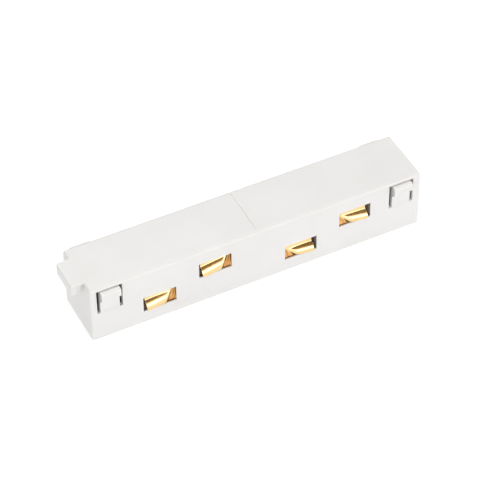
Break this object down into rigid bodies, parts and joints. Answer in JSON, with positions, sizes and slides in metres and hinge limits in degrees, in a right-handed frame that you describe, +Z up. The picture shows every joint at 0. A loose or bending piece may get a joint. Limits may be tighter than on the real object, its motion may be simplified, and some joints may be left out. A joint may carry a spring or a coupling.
{
  "type": "track light straight connector",
  "caption": "Straight connector for a low-voltage track light: a white snap-in box with sprung brass contact fingers, barbed latch tongues and a keyed end tab.",
  "frame": {"origin": "middle of the flat bottom face, under the groove in the top", "axes": "+X along the connector, away from the keyed tab; -Y towards the front; +Z up to the grooved top face"},
  "size_m": [0.0959, 0.0194, 0.0174],
  "materials": {
    "white_plastic": "fine satin moulding",
    "carrier_plastic": "plain matt moulding",
    "contact_brass": "bright pressed sheet"
  },
  "bodies": {
    "body": {"housing": "white_plastic", "bottom_cover": "white_plastic", "contact_carrier": "carrier_plastic", "strip_front_low": "contact_brass", "strip_front_high": "contact_brass", "strip_back_low": "contact_brass", "strip_back_high": "contact_brass"},
    "latch_front_left": {"latch_front_left": "white_plastic"},
    "latch_front_right": {"latch_front_right": "white_plastic"},
    "latch_back_left": {"latch_back_left": "white_plastic"},
    "latch_back_right": {"latch_back_right": "white_plastic"},
    "finger_front_low_left": {"finger_front_low_left": "contact_brass"},
    "finger_front_low_right": {"finger_front_low_right": "contact_brass"},
    "finger_front_high_left": {"finger_front_high_left": "contact_brass"},
    "finger_front_high_right": {"finger_front_high_right": "contact_brass"},
    "finger_back_low_left": {"finger_back_low_left": "contact_brass"},
    "finger_back_low_right": {"finger_back_low_right": "contact_brass"},
    "finger_back_high_left": {"finger_back_high_left": "contact_brass"},
    "finger_back_high_right": {"finger_back_high_right": "contact_brass"}
  },
  "joints": [
    {"name": "latch_front_left_bend", "type": "hinge", "parent": "body", "child": "latch_front_left", "pos_m": [-0.04075, -0.00765, 0.009], "axis": [-1, 0, 0], "range_deg": [0, 15], "stiffness_Nm_per_rad": 0.4},
    {"name": "latch_front_right_bend", "type": "hinge", "parent": "body", "child": "latch_front_right", "pos_m": [0.04075, -0.00765, 0.009], "axis": [-1, 0, 0], "range_deg": [0, 15], "stiffness_Nm_per_rad": 0.4},
    {"name": "latch_back_left_bend", "type": "hinge", "parent": "body", "child": "latch_back_left", "pos_m": [-0.04075, 0.00765, 0.009], "axis": [1, 0, 0], "range_deg": [0, 15], "stiffness_Nm_per_rad": 0.4},
    {"name": "latch_back_right_bend", "type": "hinge", "parent": "body", "child": "latch_back_right", "pos_m": [0.04075, 0.00765, 0.009], "axis": [1, 0, 0], "range_deg": [0, 15], "stiffness_Nm_per_rad": 0.4},
    {"name": "finger_front_low_left_bend", "type": "hinge", "parent": "body", "child": "finger_front_low_left", "pos_m": [-0.0223, -0.0061, 0.0064], "axis": [0, 0, -1], "range_deg": [0, 7], "stiffness_Nm_per_rad": 0.09},
    {"name": "finger_front_low_right_bend", "type": "hinge", "parent": "body", "child": "finger_front_low_right", "pos_m": [0.0069, -0.0061, 0.0064], "axis": [0, 0, 1], "range_deg": [0, 7], "stiffness_Nm_per_rad": 0.09},
    {"name": "finger_front_high_left_bend", "type": "hinge", "parent": "body", "child": "finger_front_high_left", "pos_m": [-0.0069, -0.0061, 0.01105], "axis": [0, 0, -1], "range_deg": [0, 7], "stiffness_Nm_per_rad": 0.09},
    {"name": "finger_front_high_right_bend", "type": "hinge", "parent": "body", "child": "finger_front_high_right", "pos_m": [0.0223, -0.0061, 0.01105], "axis": [0, 0, 1], "range_deg": [0, 7], "stiffness_Nm_per_rad": 0.09},
    {"name": "finger_back_low_left_bend", "type": "hinge", "parent": "body", "child": "finger_back_low_left", "pos_m": [-0.0223, 0.0061, 0.0064], "axis": [0, 0, 1], "range_deg": [0, 7], "stiffness_Nm_per_rad": 0.09},
    {"name": "finger_back_low_right_bend", "type": "hinge", "parent": "body", "child": "finger_back_low_right", "pos_m": [0.0069, 0.0061, 0.0064], "axis": [0, 0, -1], "range_deg": [0, 7], "stiffness_Nm_per_rad": 0.09},
    {"name": "finger_back_high_left_bend", "type": "hinge", "parent": "body", "child": "finger_back_high_left", "pos_m": [-0.0069, 0.0061, 0.01105], "axis": [0, 0, 1], "range_deg": [0, 7], "stiffness_Nm_per_rad": 0.09},
    {"name": "finger_back_high_right_bend", "type": "hinge", "parent": "body", "child": "finger_back_high_right", "pos_m": [0.0223, 0.0061, 0.01105], "axis": [0, 0, -1], "range_deg": [0, 7], "stiffness_Nm_per_rad": 0.09}
  ]
}
